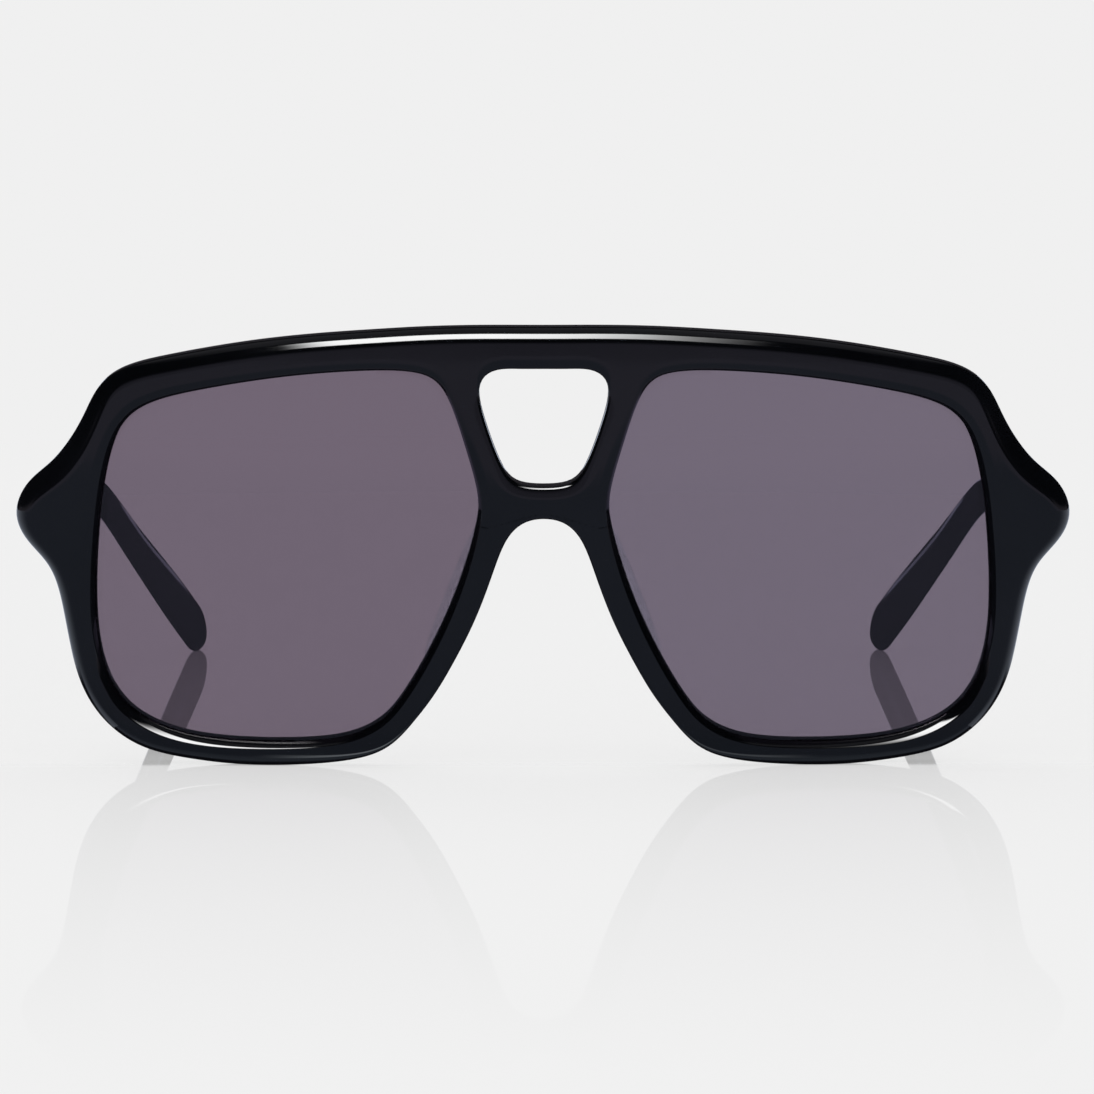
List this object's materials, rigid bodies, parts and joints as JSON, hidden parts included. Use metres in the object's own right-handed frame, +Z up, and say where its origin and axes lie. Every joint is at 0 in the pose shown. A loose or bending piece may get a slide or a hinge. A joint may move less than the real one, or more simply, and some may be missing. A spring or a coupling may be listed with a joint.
{
  "type": "navigator sunglasses",
  "caption": "Navigator sunglasses with a double bridge, tinted lenses held in grooves, glued nose pads and temples that fold on screwed barrel hinges.",
  "frame": {"origin": "middle of the footprint, on the table: below the middle of the object's overall box, at its lowest point", "axes": "-Y is the way the wearer looks, so the temples run towards +Y; +X is the wearer's left; +Z is up. It rests as it stands on a table, open, on its rims and temple tips."},
  "size_m": [0.1504, 0.1527, 0.063],
  "materials": {
    "front_acetate": "polished",
    "pad_acetate": "clear acetate, polished",
    "temple_acetate": "polished",
    "lens": "tinted, polished",
    "hinge": "satin",
    "screw": "turned",
    "core_wire": "drawn"
  },
  "bodies": {
    "front": {"front_frame": "front_acetate", "left_lens": "lens", "right_lens": "lens", "left_nose_pad": "pad_acetate", "right_nose_pad": "pad_acetate", "left_front_hinge": "hinge", "right_front_hinge": "hinge", "left_hinge_screw": "screw", "right_hinge_screw": "screw"},
    "left_arm": {"left_temple": "temple_acetate", "left_temple_hinge": "hinge", "left_core_wire": "core_wire"},
    "right_arm": {"right_temple": "temple_acetate", "right_temple_hinge": "hinge", "right_core_wire": "core_wire"}
  },
  "joints": [
    {"name": "left_temple_fold", "type": "hinge", "parent": "front", "child": "left_arm", "pos_m": [0.066, -0.0614, 0.03642], "axis": [0, -0.0772, 0.997], "range_deg": [0, 88]},
    {"name": "right_temple_fold", "type": "hinge", "parent": "front", "child": "right_arm", "pos_m": [-0.066, -0.0614, 0.03642], "axis": [0, 0.0772, -0.997], "range_deg": [0, 84]}
  ]
}
